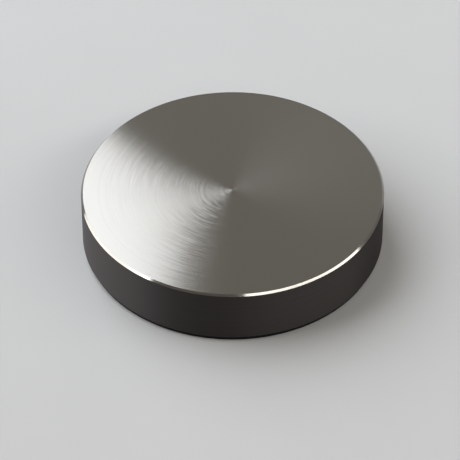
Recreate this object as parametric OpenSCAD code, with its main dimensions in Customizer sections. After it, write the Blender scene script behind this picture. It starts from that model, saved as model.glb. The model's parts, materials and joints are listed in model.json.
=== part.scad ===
// Record weight: a turned steel disc that drops over the spindle of a turntable,
// with a thin rubber pad bonded to its underside to spare the record's label.
// The origin is the centre of the pad's lower face, and the axis is +Z.

/* [Body] */
// Diameter of the turned steel body
body_d = 78; // [60:0.5:90]
// Height of the steel body, without the pad
body_h = 15; // [14.5:0.5:30]
// Width and height of the polished chamfer round the top face
top_chamfer = 0.5; // [0.2:0.1:2]
// Width and height of the chamfer that breaks the lower edge
lower_chamfer = 0.4; // [0.2:0.1:1.5]

/* [Spindle bore] */
// Diameter of the turntable's spindle
spindle_d = 7.15; // [6:0.05:8]
// Play on the diameter between the spindle and the bore
spindle_play = 0.25; // [0.1:0.05:0.6]
// Depth of the bore's straight wall above the steel's lower face
bore_depth = 10.5; // [7:0.5:11]
// Width and height of the lead-in chamfer at the bore's mouth
lead_in = 0.8; // [0.3:0.1:1.5]
// Point angle of the drill that leaves the cone at the bore's end
drill_point = 118; // [110:1:140]

/* [Pad] */
// Thickness of the rubber pad
pad_t = 1.2; // [0.8:0.1:3]
// Distance from the pad's edge to the edge of the steel's flat lower face
pad_inset = 0.3; // [0.1:0.1:2]
// Distance from the mouth of the lead-in chamfer to the edge of the pad's hole
pad_hole_margin = 0.5; // [0.2:0.1:2]

/* [Hidden] */

body_r = body_d / 2;
lower_face_r = body_r - lower_chamfer;
top_face_r = body_r - top_chamfer;

lower_face_z = pad_t;
top_face_z = lower_face_z + body_h;

bore_r = (spindle_d + spindle_play) / 2;
bore_mouth_r = bore_r + lead_in;
bore_end_z = lower_face_z + bore_depth;
bore_tip_z = bore_end_z + bore_r / tan(drill_point / 2);

pad_r = lower_face_r - pad_inset;
pad_hole_r = bore_mouth_r + pad_hole_margin;

// How far a cutting tool passes the face that it cuts
overcut = 1;
turning_fn = 180;

// Half section of the disc, from the axis out along the lower face, up the rim
// and back along the flat top
module body_section() {
    polygon([
        [0, lower_face_z],
        [lower_face_r, lower_face_z],
        [body_r, lower_face_z + lower_chamfer],
        [body_r, top_face_z - top_chamfer],
        [top_face_r, top_face_z],
        [0, top_face_z]
    ]);
}

// Half section of the blind bore: the lead-in widens towards the mouth, and the
// drill's cone closes the far end
module bore_section() {
    polygon([
        [0, lower_face_z - overcut],
        [bore_mouth_r + overcut, lower_face_z - overcut],
        [bore_r, lower_face_z + lead_in],
        [bore_r, bore_end_z],
        [0, bore_tip_z]
    ]);
}

// Turned in one piece from steel bar: the faced top, the rim with its broken
// edges, and the spindle bore from below
module weight_body() {
    color("#8C8882")
    difference() {
        rotate_extrude($fn = turning_fn) body_section();
        rotate_extrude($fn = turning_fn) bore_section();
    }
}

// Die-cut from black rubber sheet, with a hole that clears the bore's lead-in
module base_pad() {
    color("#1A1A1B")
    difference() {
        cylinder(r = pad_r, h = pad_t, $fn = turning_fn);
        translate([0, 0, -overcut])
        cylinder(r = pad_hole_r, h = pad_t + 2 * overcut, $fn = turning_fn);
    }
}

weight_body();
base_pad();
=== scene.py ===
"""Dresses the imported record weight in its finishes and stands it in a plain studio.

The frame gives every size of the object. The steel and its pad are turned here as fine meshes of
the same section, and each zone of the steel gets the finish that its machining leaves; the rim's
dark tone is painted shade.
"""

from __future__ import annotations

import json
import logging
import math
from collections.abc import Mapping
from dataclasses import dataclass, field
from enum import IntEnum

import bmesh
import bpy
from mathutils import Matrix, Vector


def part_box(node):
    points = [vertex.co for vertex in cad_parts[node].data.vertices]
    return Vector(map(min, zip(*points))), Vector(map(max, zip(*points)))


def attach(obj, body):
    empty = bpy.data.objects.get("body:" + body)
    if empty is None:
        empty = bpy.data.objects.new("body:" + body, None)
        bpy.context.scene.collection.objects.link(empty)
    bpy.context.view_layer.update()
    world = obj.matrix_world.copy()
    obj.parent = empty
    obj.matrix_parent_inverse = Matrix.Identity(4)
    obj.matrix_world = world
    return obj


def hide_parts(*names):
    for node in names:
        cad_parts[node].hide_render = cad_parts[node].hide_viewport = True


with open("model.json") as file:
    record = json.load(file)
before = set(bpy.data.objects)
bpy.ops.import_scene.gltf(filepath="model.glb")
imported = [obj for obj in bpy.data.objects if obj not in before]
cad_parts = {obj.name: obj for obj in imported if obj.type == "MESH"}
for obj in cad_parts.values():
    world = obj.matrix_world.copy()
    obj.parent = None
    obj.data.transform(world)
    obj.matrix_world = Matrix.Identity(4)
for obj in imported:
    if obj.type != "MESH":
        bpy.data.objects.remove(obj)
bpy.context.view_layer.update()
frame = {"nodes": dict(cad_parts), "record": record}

MM = 0.001
BAKE_MAP = "OFBake"
ROOT = "root"
# The value that a noise pattern strays from to both sides
NOISE_MIDDLE = 0.5
# Corners of a CAD node are read to a micrometre, and radii or heights this close are the same
CORNER_DIGITS = 6
SAME_PLACE = 0.01 * MM
# A point of a section that is closer to the axis than this lies on it
ON_AXIS = 0.001 * MM
# A point at which a section turns by less than this is no corner
STRAIGHT_DEG = 10.0
# Faces that meet at a larger angle than this are shaded with a sharp edge between them
SHARP_DEG = 20.0
log = logging.getLogger("record_weight")


class Zone(IntEnum):
    """Stretches of the steel's turned section, each with a finish in a material slot of its own."""

    FACED_TOP = 0
    POLISHED_EDGE = 1
    TURNED_RIM = 2
    LOWER_FACE = 3
    SPINDLE_BORE = 4


def linear(code: str) -> tuple[float, float, float, float]:
    """Turns an sRGB colour into the linear one that the shaders take.

    Args:
        code: The colour as "#RRGGBB".

    Returns:
        Linear red, green, blue and an alpha of one.
    """
    values = [int(code[i:i + 2], 16) / 255 for i in (1, 3, 5)]
    red, green, blue = (v / 12.92 if v <= 0.04045 else ((v + 0.055) / 1.055) ** 2.4 for v in values)
    return red, green, blue, 1.0


def add_node(tree: bpy.types.NodeTree, kind: str, settings: Mapping[str, object] | None = None,
             inputs: Mapping[str | int, object] | None = None) -> bpy.types.Node:
    """Adds one node with its settings and inputs.

    Args:
        tree: The node tree that gets the node.
        kind: Blender's name for the type of node.
        settings: Properties of the node itself, by name.
        inputs: Values or other nodes' output sockets, by the input's name or number.

    Returns:
        The new node.
    """
    node = tree.nodes.new(kind)
    for name, value in (settings or {}).items():
        setattr(node, name, value)
    for name, value in (inputs or {}).items():
        if isinstance(value, bpy.types.NodeSocket):
            tree.links.new(value, node.inputs[name])
        else:
            node.inputs[name].default_value = value
    return node


@dataclass(frozen=True)
class Finish:
    """What all finishes share: two close tones that mingle, and the shader that they end in."""

    name: str
    colour: str
    second_colour: str
    roughness: float
    metallic: float = 0.0
    # How wide the patches of the two tones are, how many finer sizes lie inside them, and how strong
    # each of those is beside the one before
    patch_mm: float = 6.0
    patch_detail: float = 4.0
    patch_grit: float = 0.6
    # The values of a pattern at which only the first tone is left, and only the second
    tone_span: tuple[float, float] = (0.35, 0.65)

    def place_mm(self, tree: bpy.types.NodeTree) -> bpy.types.NodeSocket:
        """Gives the surface point in millimetres, in the object's own frame."""
        place = add_node(tree, "ShaderNodeTexCoord").outputs["Object"]
        return add_node(tree, "ShaderNodeVectorMath", {"operation": "SCALE"},
                        {0: place, "Scale": 1 / MM}).outputs[0]

    def patches(self, tree: bpy.types.NodeTree, place: bpy.types.NodeSocket) -> bpy.types.NodeSocket:
        """Draws the soft patches of the two tones.

        Args:
            tree: The node tree that gets the nodes.
            place: The surface point in millimetres.

        Returns:
            A socket around a half.
        """
        return add_node(tree, "ShaderNodeTexNoise", {}, {
            "Vector": place, "Scale": 1 / self.patch_mm, "Detail": self.patch_detail,
            "Roughness": self.patch_grit}).outputs[0]

    def tone(self, tree: bpy.types.NodeTree, pattern: bpy.types.NodeSocket) -> bpy.types.NodeSocket:
        """Mingles the two tones by a pattern.

        Args:
            tree: The node tree that gets the nodes.
            pattern: A socket around a half.

        Returns:
            The colour's socket.
        """
        first, last = self.tone_span
        share = add_node(tree, "ShaderNodeMapRange", {}, {
            "Value": pattern, "From Min": first, "From Max": last}).outputs[0]
        return add_node(tree, "ShaderNodeMix", {"data_type": "RGBA"}, {
            0: share, 6: linear(self.colour), 7: linear(self.second_colour)}).outputs[2]

    def surface(self, tree: bpy.types.NodeTree) -> dict[str, object]:
        """Gives the shader's inputs, by name.

        Args:
            tree: The node tree that gets the nodes that work the inputs out.

        Returns:
            Values and sockets for the shader.
        """
        patches = self.patches(tree, self.place_mm(tree))
        return {"Base Color": self.tone(tree, patches), "Metallic": self.metallic,
                "Roughness": self.roughness}

    def material(self) -> bpy.types.Material:
        """Builds the finish.

        Returns:
            The finished material.
        """
        material = bpy.data.materials.new(self.name)
        material.use_nodes = True
        tree = material.node_tree
        tree.nodes.clear()
        shader = add_node(tree, "ShaderNodeBsdfPrincipled", {}, self.surface(tree))
        add_node(tree, "ShaderNodeOutputMaterial", {}, {"Surface": shader.outputs[0]})
        return material


@dataclass(frozen=True)
class TurnedSteel(Finish):
    """Stainless steel as the lathe leaves it: grooves round the axis, which smear light across them.

    The eye gets a bright fan on a flat face and upright soft bands on a rim. Fine rings cross the
    fan, and where it fades they break up into short arcs.
    """

    metallic: float = 1.0
    anisotropy: float = 0.9
    # A quarter turn from the grooves' own direction, so that the light spreads across them
    smear_turn: float = 0.25
    # How far from the axis the disc reaches, and how far the long flanks of an upper face's grooves
    # lean outwards, in degrees, at the axis and there
    reach_mm: float = field(kw_only=True)
    flank_lean: tuple[float, float] = (0.0, 0.0)
    # Real feed marks are about 0.1 mm apart: drawn coarser, because a pixel covers 0.26 mm. Some
    # rings are wide and some fine, as the tool wears and chips run under it
    ring_pitch_mm: float = 0.7
    ring_detail: float = 3.0
    ring_grit: float = 0.75
    # Where the tool pressed harder or softer, arcs run a part of the way round: how fine they are,
    # how many finer ones lie inside them, how short they are, and how deep beside the rings
    arc_pitch_mm: float = 0.35
    arc_detail: float = 2.0
    arcs_round: float = 3.0
    arc_share: float = 0.6
    # The tool cuts slower near the axis and tears more: the marks' strength there and at the rim
    mark_strength: tuple[float, float] = (1.1, 0.2)
    # How far lean and roughness stray together, over the whole range of the marks
    lean_range_deg: float = 1.0
    roughness_range: float = 0.14
    # How far the grooves in the arcs stray from true circles
    skew_range_deg: float = 4.5
    # How much of the mirror's brightening towards grazing light is left
    edge_tint: str = "#FFFFFF"
    # The small cone that the tool leaves at the centre of the face
    pip_lean_deg: float = 0.0
    pip_radius_mm: float = 0.6

    def surface(self, tree: bpy.types.NodeTree) -> dict[str, object]:
        """Gives the shader's inputs, with the grooves worked out round the disc's Z axis.

        Args:
            tree: The node tree that gets the nodes that work the inputs out.

        Returns:
            Values and sockets for the shader.
        """
        place = self.place_mm(tree)
        flat = add_node(tree, "ShaderNodeVectorMath", {"operation": "MULTIPLY"},
                        {0: place, 1: (1.0, 1.0, 0.0)}).outputs[0]
        radius = add_node(tree, "ShaderNodeVectorMath", {"operation": "LENGTH"}, {0: flat}).outputs["Value"]
        rings, arcs = self.marks(tree, place, flat, radius)
        depth = add_node(tree, "ShaderNodeMath", {"operation": "MULTIPLY_ADD"},
                         {0: arcs, 1: self.arc_share, 2: rings}).outputs[0]
        rough = add_node(tree, "ShaderNodeMath", {"operation": "MULTIPLY_ADD"},
                         {0: depth, 1: self.roughness_range, 2: self.roughness}).outputs[0]
        tangent = add_node(tree, "ShaderNodeTangent", {"direction_type": "RADIAL", "axis": "Z"}).outputs[0]
        normal = self.flank_normal(tree, tangent, self.slope(tree, radius, depth), arcs)
        tone = self.tone(tree, add_node(tree, "ShaderNodeMath", {"operation": "ADD"},
                                        {0: depth, 1: NOISE_MIDDLE}).outputs[0])
        return {"Base Color": tone, "Metallic": self.metallic, "Roughness": rough,
                "Anisotropic": self.anisotropy, "Anisotropic Rotation": self.smear_turn,
                "Specular Tint": linear(self.edge_tint), "Tangent": tangent, "Normal": normal}

    def marks(self, tree: bpy.types.NodeTree, place: bpy.types.NodeSocket, flat: bpy.types.NodeSocket,
              radius: bpy.types.NodeSocket) -> tuple[bpy.types.NodeSocket, bpy.types.NodeSocket]:
        """Draws the turning marks: whole rings, and arcs from noise that is drawn out round the axis.

        Args:
            tree: The node tree that gets the nodes.
            place: The surface point in millimetres.
            flat: The same without its height.
            radius: Its distance from the axis.

        Returns:
            The rings' and the arcs' sockets, which stray to both sides of zero.
        """
        height = add_node(tree, "ShaderNodeSeparateXYZ", {}, {0: place}).outputs["Z"]
        # Faces are cut along the radius and walls along the height, so one sum serves both
        cut = add_node(tree, "ShaderNodeMath", {"operation": "ADD"}, {0: radius, 1: height}).outputs[0]
        rings = add_node(tree, "ShaderNodeTexNoise", {"noise_dimensions": "1D"}, {
            "W": cut, "Scale": 1 / self.ring_pitch_mm, "Detail": self.ring_detail,
            "Roughness": self.ring_grit}).outputs[0]
        way = add_node(tree, "ShaderNodeVectorMath", {"operation": "NORMALIZE"}, {0: flat}).outputs[0]
        step = add_node(tree, "ShaderNodeMath", {"operation": "DIVIDE"},
                        {0: cut, 1: self.arc_pitch_mm}).outputs[0]
        step = add_node(tree, "ShaderNodeCombineXYZ", {}, {"Z": step}).outputs[0]
        polar = add_node(tree, "ShaderNodeVectorMath", {"operation": "MULTIPLY_ADD"},
                         {0: way, 1: (self.arcs_round, self.arcs_round, 0.0), 2: step}).outputs[0]
        arcs = add_node(tree, "ShaderNodeTexNoise", {}, {
            "Vector": polar, "Scale": 1.0, "Detail": self.arc_detail}).outputs[0]
        strength = add_node(tree, "ShaderNodeMapRange", {}, {
            "Value": radius, "From Max": self.reach_mm, "To Min": self.mark_strength[0],
            "To Max": self.mark_strength[1]}).outputs[0]
        marks = []
        for noise in (rings, arcs):
            mark = add_node(tree, "ShaderNodeMath", {"operation": "SUBTRACT"},
                            {0: noise, 1: NOISE_MIDDLE}).outputs[0]
            mark = add_node(tree, "ShaderNodeMath", {"operation": "MULTIPLY"},
                            {0: mark, 1: strength}).outputs[0]
            marks.append(mark)
        return marks[0], marks[1]

    def slope(self, tree: bpy.types.NodeTree, radius: bpy.types.NodeSocket,
              depth: bpy.types.NodeSocket) -> bpy.types.NodeSocket:
        """Works out how steeply the grooves' long flanks lean away from the axis.

        Args:
            tree: The node tree that gets the nodes.
            radius: Distance from the axis in millimetres.
            depth: How deep the marks are, around zero.

        Returns:
            The slope's socket.
        """
        first, last = (math.tan(math.radians(v)) for v in self.flank_lean)
        lean = add_node(tree, "ShaderNodeMath", {"operation": "MULTIPLY_ADD"},
                        {0: radius, 1: (last - first) / self.reach_mm, 2: first}).outputs[0]
        lean = add_node(tree, "ShaderNodeMath", {"operation": "MULTIPLY_ADD"},
                        {0: depth, 1: math.tan(math.radians(self.lean_range_deg)), 2: lean}).outputs[0]
        fall = add_node(tree, "ShaderNodeMath", {"operation": "DIVIDE"},
                        {0: radius, 1: -self.pip_radius_mm}).outputs[0]
        fall = add_node(tree, "ShaderNodeMath", {"operation": "EXPONENT"}, {0: fall}).outputs[0]
        return add_node(tree, "ShaderNodeMath", {"operation": "MULTIPLY_ADD"},
                        {0: fall, 1: math.tan(math.radians(self.pip_lean_deg)), 2: lean}).outputs[0]

    def flank_normal(self, tree: bpy.types.NodeTree, tangent: bpy.types.NodeSocket,
                     slope: bpy.types.NodeSocket, arcs: bpy.types.NodeSocket) -> bpy.types.NodeSocket:
        """Tips the surface's normal across the grooves, and in the arcs a little along them.

        Args:
            tree: The node tree that gets the nodes.
            tangent: The grooves' direction.
            slope: How steeply the flanks lean.
            arcs: The arcs, around zero.

        Returns:
            The normal's socket.
        """
        normal = add_node(tree, "ShaderNodeNewGeometry").outputs["Normal"]
        across = add_node(tree, "ShaderNodeVectorMath", {"operation": "CROSS_PRODUCT"},
                          {0: tangent, 1: normal}).outputs[0]
        tipped = add_node(tree, "ShaderNodeVectorMath", {"operation": "MULTIPLY_ADD"},
                          {0: across, 1: slope, 2: normal}).outputs[0]
        turn = add_node(tree, "ShaderNodeMath", {"operation": "MULTIPLY"},
                        {0: arcs, 1: -math.tan(math.radians(self.skew_range_deg))}).outputs[0]
        tipped = add_node(tree, "ShaderNodeVectorMath", {"operation": "MULTIPLY_ADD"},
                          {0: tangent, 1: turn, 2: tipped}).outputs[0]
        return add_node(tree, "ShaderNodeVectorMath", {"operation": "NORMALIZE"}, {0: tipped}).outputs[0]


@dataclass(frozen=True)
class PolishedSteel(Finish):
    """Stainless steel cut with a fine tool and buffed: a bright line that mirrors the lamps.

    The eye gets a slightly uneven mirror, because the buffing wheel leaves small duller spots.
    """

    metallic: float = 1.0
    # How wide the spots are, and how many finer sizes lie inside them
    spot_mm: float = 0.8
    spot_detail: float = 3.0
    # The values of the pattern at which the roughness has gone as far down and up as it does
    spot_span: tuple[float, float] = (0.3, 0.7)
    spot_roughness: float = 0.03

    def surface(self, tree: bpy.types.NodeTree) -> dict[str, object]:
        """Gives the shader's inputs, with the duller spots in the roughness.

        Args:
            tree: The node tree that gets the nodes that work the inputs out.

        Returns:
            Values and sockets for the shader.
        """
        place = self.place_mm(tree)
        spots = add_node(tree, "ShaderNodeTexNoise", {}, {
            "Vector": place, "Scale": 1 / self.spot_mm, "Detail": self.spot_detail}).outputs[0]
        first, last = self.spot_span
        rough = add_node(tree, "ShaderNodeMapRange", {}, {
            "Value": spots, "From Min": first, "From Max": last,
            "To Min": self.roughness - self.spot_roughness,
            "To Max": self.roughness + self.spot_roughness}).outputs[0]
        return {"Base Color": self.tone(tree, self.patches(tree, place)), "Metallic": self.metallic,
                "Roughness": rough}


@dataclass(frozen=True)
class RubberSheet(Finish):
    """Calendered rubber sheet: nearly black and dull, with a fine grain that breaks up its sheen."""

    # Real grain is about 0.1 mm: drawn coarser, because a pixel covers 0.26 mm
    grain_mm: float = 0.35
    grain_detail: float = 2.0
    grain_depth_mm: float = 0.02
    # The fine pits between the grains swallow over half of the gloss, which is 0.5 without them
    gloss: float = 0.2

    def surface(self, tree: bpy.types.NodeTree) -> dict[str, object]:
        """Gives the shader's inputs, with the grain as relief.

        Args:
            tree: The node tree that gets the nodes that work the inputs out.

        Returns:
            Values and sockets for the shader.
        """
        place = self.place_mm(tree)
        grain = add_node(tree, "ShaderNodeTexNoise", {}, {
            "Vector": place, "Scale": 1 / self.grain_mm, "Detail": self.grain_detail}).outputs[0]
        relief = add_node(tree, "ShaderNodeMath", {"operation": "MULTIPLY"},
                          {0: grain, 1: self.grain_depth_mm}).outputs[0]
        bump = add_node(tree, "ShaderNodeBump", {}, {"Height": relief, "Distance": MM}).outputs[0]
        return {"Base Color": self.tone(tree, self.patches(tree, place)), "Metallic": self.metallic,
                "Roughness": self.roughness, "Specular IOR Level": self.gloss, "Normal": bump}


@dataclass
class Section:
    """Half section of a turned piece: straight stretches between points of radius and height."""

    points: list[tuple[float, float]] = field(default_factory=list)
    # The material slot of each stretch
    slots: list[int] = field(default_factory=list)

    def start(self, radius: float, height: float) -> None:
        """Sets the first point."""
        self.points = [(radius, height)]

    def line(self, radius: float, height: float, slot: int = 0) -> None:
        """Runs a straight stretch to a new point.

        Args:
            radius: Distance of the new point from the axis.
            height: Height of the new point.
            slot: The material slot of the stretch.
        """
        self.points.append((radius, height))
        self.slots.append(slot)

    def softened(self, break_radius: float, steps: int = 4) -> Section:
        """Rounds each corner by the small radius that every machined or cut edge has.

        A closed section keeps its first corner sharp. Beside each rounding a narrow stretch keeps the
        shading of the flat faces flat.

        Args:
            break_radius: Radius of the rounding.
            steps: Number of facets across a rounding.

        Returns:
            The section with its corners rounded.
        """
        soft = Section([self.points[0]])
        for k in range(1, len(self.points) - 1):
            here = Vector(self.points[k])
            back = (Vector(self.points[k - 1]) - here).normalized()
            ahead = (Vector(self.points[k + 1]) - here).normalized()
            turn = math.pi - back.angle(ahead)
            if turn < math.radians(STRAIGHT_DEG):
                soft.line(*here, self.slots[k - 1])
                continue
            setback = break_radius * math.tan(turn / 2)
            centre = here + (back + ahead).normalized() * break_radius / math.cos(turn / 2)
            soft.line(*(here + back * (setback + break_radius)), self.slots[k - 1])
            soft.line(*(here + back * setback), self.slots[k - 1])
            first = here + back * setback - centre
            spin = math.copysign(turn, back.x * ahead.y - back.y * ahead.x)
            for i in range(1, steps + 1):
                arm = Matrix.Rotation(-spin * i / steps, 2) @ first
                soft.line(*(centre + arm), self.slots[k])
            soft.line(*(here + ahead * (setback + break_radius)), self.slots[k])
        soft.line(*self.points[-1], self.slots[-1])
        return soft


@dataclass(frozen=True)
class NodeSection:
    """The corner points of a turned CAD node, read from its mesh."""

    corners: frozenset[tuple[float, float]]

    @classmethod
    def of(cls, node: str) -> NodeSection:
        """Reads the corner points of a node.

        Args:
            node: The node's name.

        Returns:
            Its corner points as radius and height, to a micrometre.
        """
        places = [vertex.co for vertex in frame["nodes"][node].data.vertices]
        return cls(frozenset((round(math.hypot(p.x, p.y), CORNER_DIGITS), round(p.z, CORNER_DIGITS))
                             for p in places))

    def radii(self, height: float) -> list[float]:
        """Gives the corners' radii at a height, from the axis outwards."""
        return sorted(r for r, z in self.corners if abs(z - height) < SAME_PLACE)

    def heights(self, radius: float) -> list[float]:
        """Gives the corners' heights at a radius, from the lowest up."""
        return sorted(z for r, z in self.corners if abs(r - radius) < SAME_PLACE)


def turned_piece(name: str, section: Section, segments: int) -> bpy.types.Object:
    """Turns a section round the Z axis.

    Args:
        name: Name of the new object.
        section: The half section, run with the material on its right.
        segments: Number of faces round the axis.

    Returns:
        The object, smooth along the turning direction, with a map whose U runs round the axis.
    """
    mesh = bmesh.new()
    uv = mesh.loops.layers.uv.new(BAKE_MAP)
    lengths = [0.0]
    for start, end in zip(section.points, section.points[1:]):
        lengths.append(lengths[-1] + math.dist(start, end))
    turns = [2 * math.pi * i / segments for i in range(segments)]
    rings: list[list[bmesh.types.BMVert]] = []
    for radius, height in section.points:
        if rings and (radius, height) == section.points[0]:
            rings.append(rings[0])
        elif radius < ON_AXIS:
            rings.append([mesh.verts.new((0.0, 0.0, height))])
        else:
            rings.append([mesh.verts.new((radius * math.cos(turn), radius * math.sin(turn), height))
                          for turn in turns])
    for k, slot in enumerate(section.slots):
        near, far = rings[k], rings[k + 1]
        for i in range(segments):
            corners = {}
            for ring, step, length in ((near, i, lengths[k]), (far, i, lengths[k + 1]),
                                       (far, i + 1, lengths[k + 1]), (near, i + 1, lengths[k])):
                corners.setdefault(ring[step % len(ring)], (step / segments, length / lengths[-1]))
            face = mesh.faces.new(corners)
            face.smooth = True
            face.material_index = slot
            for loop, place in zip(face.loops, corners.values()):
                loop[uv].uv = place
    data = bpy.data.meshes.new(name)
    mesh.to_mesh(data)
    mesh.free()
    piece = bpy.data.objects.new(name, data)
    bpy.context.scene.collection.objects.link(piece)
    data.set_sharp_from_angle(angle=math.radians(SHARP_DEG))
    return piece


@dataclass
class SteelBody:
    """The turned steel disc with its blind spindle bore, in metres."""

    radius: float
    lower_z: float
    top_z: float
    top_face_radius: float
    rim_span: tuple[float, float]
    lower_face_span: tuple[float, float]
    bore_radius: float
    bore_span: tuple[float, float]
    bore_tip_z: float
    edge_break: float = 0.05 * MM
    # The top's rings grow outwards, so that the faces keep their shape down to the centre
    first_ring: float = 0.15 * MM
    top_rings: int = 24
    segments: int = 256

    @classmethod
    def from_frame(cls) -> SteelBody:
        """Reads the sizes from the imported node.

        Returns:
            The steel body, ready to build.
        """
        low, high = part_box("weight_body")
        section = NodeSection.of("weight_body")
        lower_radii = section.radii(low.z)
        bore_radius = next(m["dims"]["r_mm"] for m in frame["record"]["mounts"]
                           if m["name"] == "spindle_bore") * MM
        rim, bore = section.heights(high.x), section.heights(bore_radius)
        return cls(radius=high.x, lower_z=low.z, top_z=high.z, top_face_radius=section.radii(high.z)[-1],
                   rim_span=(rim[0], rim[-1]), lower_face_span=(lower_radii[0], lower_radii[-1]),
                   bore_radius=bore_radius, bore_span=(bore[0], bore[-1]),
                   bore_tip_z=section.heights(0.0)[-1])

    def section(self) -> Section:
        """Draws the half section from the top's centre out, down the rim, and in to the bore's tip.

        Returns:
            The section, with its edges broken.
        """
        line = Section()
        line.start(0.0, self.top_z)
        growth = self.top_face_radius / self.first_ring
        for i in range(self.top_rings + 1):
            line.line(self.first_ring * growth ** (i / self.top_rings), self.top_z, Zone.FACED_TOP)
        line.line(self.radius, self.rim_span[1], Zone.POLISHED_EDGE)
        line.line(self.radius, self.rim_span[0], Zone.TURNED_RIM)
        line.line(self.lower_face_span[1], self.lower_z, Zone.POLISHED_EDGE)
        line.line(self.lower_face_span[0], self.lower_z, Zone.LOWER_FACE)
        line.line(self.bore_radius, self.bore_span[0], Zone.SPINDLE_BORE)
        line.line(self.bore_radius, self.bore_span[1], Zone.SPINDLE_BORE)
        line.line(0.0, self.bore_tip_z, Zone.SPINDLE_BORE)
        return line.softened(self.edge_break)

    def finishes(self) -> dict[Zone, Finish]:
        """Names the finish of each zone.

        Returns:
            A finish for every zone.
        """
        reach_mm = self.radius / MM
        return {
            # A pointed tool at a steady feed: the bright fan, its rings and a small pip in the middle
            Zone.FACED_TOP: TurnedSteel(
                "faced_stainless_steel", "#A9A59D", "#A8A49B", 0.165, reach_mm=reach_mm,
                flank_lean=(2.2, 7.4), pip_lean_deg=4.0),
            Zone.POLISHED_EDGE: PolishedSteel("polished_stainless_steel", "#A29D96", "#9C9790", 0.12),
            # Fine turned and left dull: soft upright bands. Its deep tone and weaker edge tint are painted
            # shade:
            # far darker than bare steel, as a rim looks when it mirrors a shaded floor
            Zone.TURNED_RIM: TurnedSteel(
                "fine_turned_steel_painted_shade", "#54504E", "#514D4B", 0.66, reach_mm=reach_mm,
                edge_tint="#DFDFDF", arcs_round=1.5, mark_strength=(0.4, 0.4)),
            # One quick cut that nobody sees in use: a duller face
            Zone.LOWER_FACE: TurnedSteel(
                "coarse_faced_stainless_steel", "#8E8A84", "#8A8680", 0.28, reach_mm=reach_mm),
            # The reamer scrapes the wall to size: its marks smear the light less than turned grooves do
            Zone.SPINDLE_BORE: TurnedSteel(
                "reamed_stainless_steel", "#8E8A84", "#86827C", 0.25, reach_mm=reach_mm, anisotropy=0.6),
        }

    def build(self) -> bpy.types.Object:
        """Builds and dresses the piece.

        Returns:
            The steel body.
        """
        piece = turned_piece("steel_body", self.section(), self.segments)
        finishes = self.finishes()
        for zone in Zone:
            piece.data.materials.append(finishes[zone].material())
        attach(piece, ROOT)
        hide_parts("weight_body")
        return piece


@dataclass
class BasePad:
    """The rubber pad bonded below the steel, in metres."""

    radius: float
    hole_radius: float
    lower_z: float
    upper_z: float
    edge_break: float = 0.1 * MM
    segments: int = 256

    @classmethod
    def from_frame(cls) -> BasePad:
        """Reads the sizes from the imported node.

        Returns:
            The pad, ready to build.
        """
        low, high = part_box("base_pad")
        hole_radius = NodeSection.of("base_pad").radii(low.z)[0]
        return cls(radius=high.x, hole_radius=hole_radius, lower_z=low.z, upper_z=high.z)

    def section(self) -> Section:
        """Draws the closed half section from the hole's upper edge out, down and back.

        Returns:
            The section, with its edges rounded but for the hole's upper one, which the steel hides.
        """
        line = Section()
        line.start(self.hole_radius, self.upper_z)
        for radius, height in ((self.radius, self.upper_z), (self.radius, self.lower_z),
                               (self.hole_radius, self.lower_z), (self.hole_radius, self.upper_z)):
            line.line(radius, height)
        return line.softened(self.edge_break)

    def build(self) -> bpy.types.Object:
        """Builds and dresses the piece.

        Returns:
            The pad.
        """
        piece = turned_piece("rubber_pad", self.section(), self.segments)
        rubber = RubberSheet("black_rubber_sheet", "#121213", "#161617", 0.85)
        piece.data.materials.append(rubber.material())
        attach(piece, ROOT)
        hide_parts("base_pad")
        return piece


@dataclass(frozen=True)
class Softbox:
    """A rectangular studio lamp, given by one corner and the two edges that run from it, in metres."""

    name: str
    corner: tuple[float, float, float]
    along: tuple[float, float, float]
    down: tuple[float, float, float]
    radiance: float
    colour: str = "#FFFFFF"

    @classmethod
    def strip(cls, name: str, start: tuple[float, float, float], end: tuple[float, float, float],
              width: float, radiance: float) -> Softbox:
        """Gives a narrow softbox that faces the object.

        Args:
            name: The lamp's name.
            start: The middle of one short edge, in metres.
            end: The middle of the other short edge.
            width: Length of the short edges.
            radiance: Brightness of its face.

        Returns:
            The softbox.
        """
        first, last = Vector(start), Vector(end)
        along = last - first
        across = along.cross(first + last).normalized() * width
        return cls(name, tuple(first - across / 2), tuple(along), tuple(across), radiance)

    def build(self) -> None:
        """Adds the lamp, with its lit side towards the object."""
        corner, along, down = Vector(self.corner), Vector(self.along), Vector(self.down)
        side = along.normalized()
        square = down - down.dot(side) * side
        rise = square.normalized()
        front = side.cross(rise)
        centre = corner + (along + square) / 2
        if front.dot(centre) < 0:
            side, front = -side, -front
        data = bpy.data.lights.new(self.name, "AREA")
        data.shape = "RECTANGLE"
        data.size, data.size_y = along.length, square.length
        data.color = linear(self.colour)[:3]
        data.energy = self.radiance * math.pi * data.size * data.size_y
        lamp = bpy.data.objects.new(self.name, data)
        lamp.matrix_world = Matrix.Translation(centre) @ Matrix((side, rise, front)).transposed().to_4x4()
        lamp.visible_camera = False
        bpy.context.scene.collection.objects.link(lamp)


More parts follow.
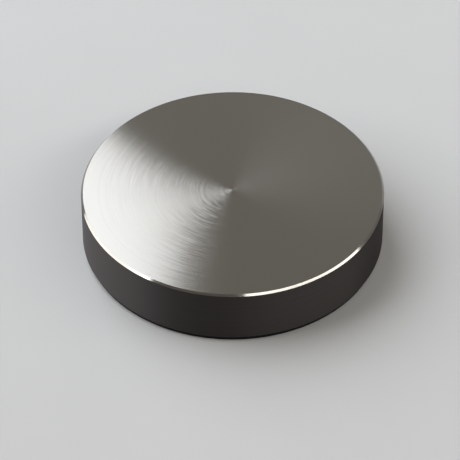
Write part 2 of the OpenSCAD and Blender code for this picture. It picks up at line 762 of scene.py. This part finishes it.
@dataclass(frozen=True)
class Studio:
    """Plain pale floor, soft lamps and a dim room with a pale low wall round it."""

    floor_colours: tuple[str, str] = ("#CECCC7", "#CCCAC5")
    floor_roughness: float = 0.8
    floor_patch_mm: float = 60.0
    floor_size: float = 3.6
    # Just under the pad, so that the two surfaces never share a plane
    floor_z: float = -0.02 * MM
    room_colour: str = "#FFFCF8"
    # The room's light from behind the camera and from beyond the object
    room_levels: tuple[float, float] = (0.16, 0.32)
    wall_level: float = 0.6
    # Sines of the angles above the horizon at which the pale wall starts to fade and has faded
    wall_fade: tuple[float, float] = (0.03, 0.09)

    def lamps(self) -> list[Softbox]:
        """Places the lamps.

        Returns:
            The large panel on the left and the two strips that the polished edge mirrors.
        """
        return [
            Softbox("left_panel", corner=(-0.33, 2.08, 2.13), along=(0.08, -1.89, 0.38),
                    down=(-0.19, -0.44, -2.20), radiance=2.7, colour="#ECF3FF"),
            Softbox.strip("right_strip", start=(1.11, 0.10, 0.45), end=(0.14, -0.84, 0.84),
                          width=0.19, radiance=3.6),
            Softbox.strip("left_strip", start=(-0.87, -0.50, 0.65), end=(-1.04, 0.60, 0.10),
                          width=0.2, radiance=3.0),
        ]

    def build(self) -> None:
        """Adds the floor, the room's light and the lamps."""
        bpy.ops.mesh.primitive_plane_add(size=self.floor_size, location=(0, 0, self.floor_z))
        floor = bpy.context.object
        floor.name = "floor"
        # Rolled on and quite dull: an even ground that shows only soft shadows
        paint = Finish("matt_floor_paint", *self.floor_colours, roughness=self.floor_roughness,
                       patch_mm=self.floor_patch_mm)
        floor.data.materials.append(paint.material())
        bpy.context.scene.world = self.room()
        for lamp in self.lamps():
            lamp.build()

    def room(self) -> bpy.types.World:
        """Makes the room's light: dim, dimmer behind the camera, and pale near the horizon.

        Returns:
            The world.
        """
        world = bpy.data.worlds.new("room")
        world.use_nodes = True
        tree = world.node_tree
        tree.nodes.clear()
        way = add_node(tree, "ShaderNodeTexCoord").outputs["Generated"]
        parts = add_node(tree, "ShaderNodeSeparateXYZ", {}, {0: way})
        room = add_node(tree, "ShaderNodeMapRange", {}, {
            "Value": parts.outputs["Y"], "From Min": -1.0, "From Max": 1.0,
            "To Min": self.room_levels[0], "To Max": self.room_levels[1]}).outputs[0]
        level = add_node(tree, "ShaderNodeMapRange", {"interpolation_type": "SMOOTHSTEP"}, {
            "Value": parts.outputs["Z"], "From Min": self.wall_fade[0], "From Max": self.wall_fade[1],
            "To Min": self.wall_level, "To Max": room}).outputs[0]
        light = add_node(tree, "ShaderNodeBackground", {}, {
            "Color": linear(self.room_colour), "Strength": level}).outputs[0]
        add_node(tree, "ShaderNodeOutputWorld", {}, {"Surface": light})
        return world


@dataclass(frozen=True)
class ViewCamera:
    """The long-lens camera that looks down on the disc from the front."""

    lens_mm: float = 259.5
    sensor_mm: float = 36.0
    place: tuple[float, float, float] = (0.0003, -0.630, 0.592)
    pan_deg: float = 0.09
    tilt_deg: float = 43.12
    roll_deg: float = -0.28

    def build(self) -> None:
        """Adds the camera and makes it the scene's own."""
        data = bpy.data.cameras.new("view_camera")
        data.lens, data.sensor_width = self.lens_mm, self.sensor_mm
        pan, tilt, roll = (math.radians(v) for v in (self.pan_deg, self.tilt_deg, self.roll_deg))
        back = Vector((math.sin(pan) * math.cos(tilt), -math.cos(pan) * math.cos(tilt), math.sin(tilt)))
        right = Vector((math.cos(pan), math.sin(pan), 0))
        up = back.cross(right)
        side = math.cos(roll) * right + math.sin(roll) * up
        rise = math.cos(roll) * up - math.sin(roll) * right
        camera = bpy.data.objects.new("view_camera", data)
        turn = Matrix((side, rise, back)).transposed().to_4x4()
        camera.matrix_world = Matrix.Translation(Vector(self.place)) @ turn
        bpy.context.scene.collection.objects.link(camera)
        bpy.context.scene.camera = camera


def main() -> None:
    """Builds the camera, the studio and each piece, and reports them."""
    logging.basicConfig(level=logging.INFO, format="%(name)s: %(message)s")
    bpy.context.scene.view_settings.view_transform = "Standard"
    ViewCamera().build()
    Studio().build()
    for part in (SteelBody.from_frame(), BasePad.from_frame()):
        piece = part.build()
        log.info("%s has %d faces", piece.name, len(piece.data.polygons))


if __name__ == "__main__":
    main()
